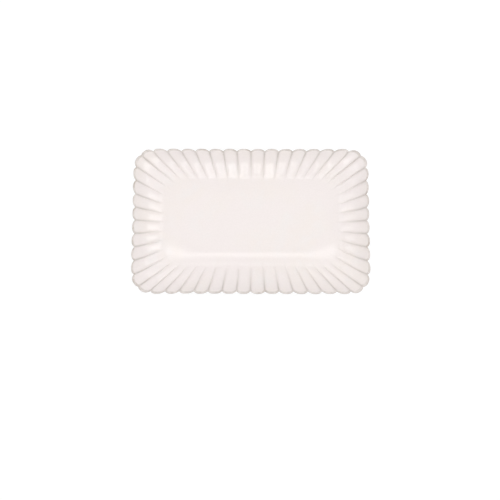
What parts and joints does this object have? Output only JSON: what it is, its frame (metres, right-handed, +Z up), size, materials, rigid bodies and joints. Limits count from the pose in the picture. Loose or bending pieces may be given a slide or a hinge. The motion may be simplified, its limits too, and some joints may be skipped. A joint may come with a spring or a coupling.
{
  "type": "serving platter",
  "caption": "Shallow rectangular china serving platter with rounded corners, a flat well, a sloping border of raised gadroon petals with a scalloped rim, and a low foot ring.",
  "frame": {"origin": "centre of the plane the foot ring stands on", "axes": "+X along the length, +Y across the width towards the back, +Z up out of the well"},
  "size_m": [0.355, 0.219, 0.036],
  "materials": {
    "bare_clay": "unglazed fired clay, matt, fine grained",
    "white_glaze": "glossy warm white glaze, pooled slightly greyer in the grooves",
    "rim_glaze": "glossy glaze worn thin over the rim, beige-grey where the clay shows through",
    "back_glaze": "glossy warm white glaze"
  },
  "bodies": {
    "root": {"clay_body": "bare_clay", "face_glaze": "white_glaze", "rim_glaze": "rim_glaze", "back_glaze": "back_glaze", "foot_recess_glaze": "back_glaze"}
  },
  "joints": []
}
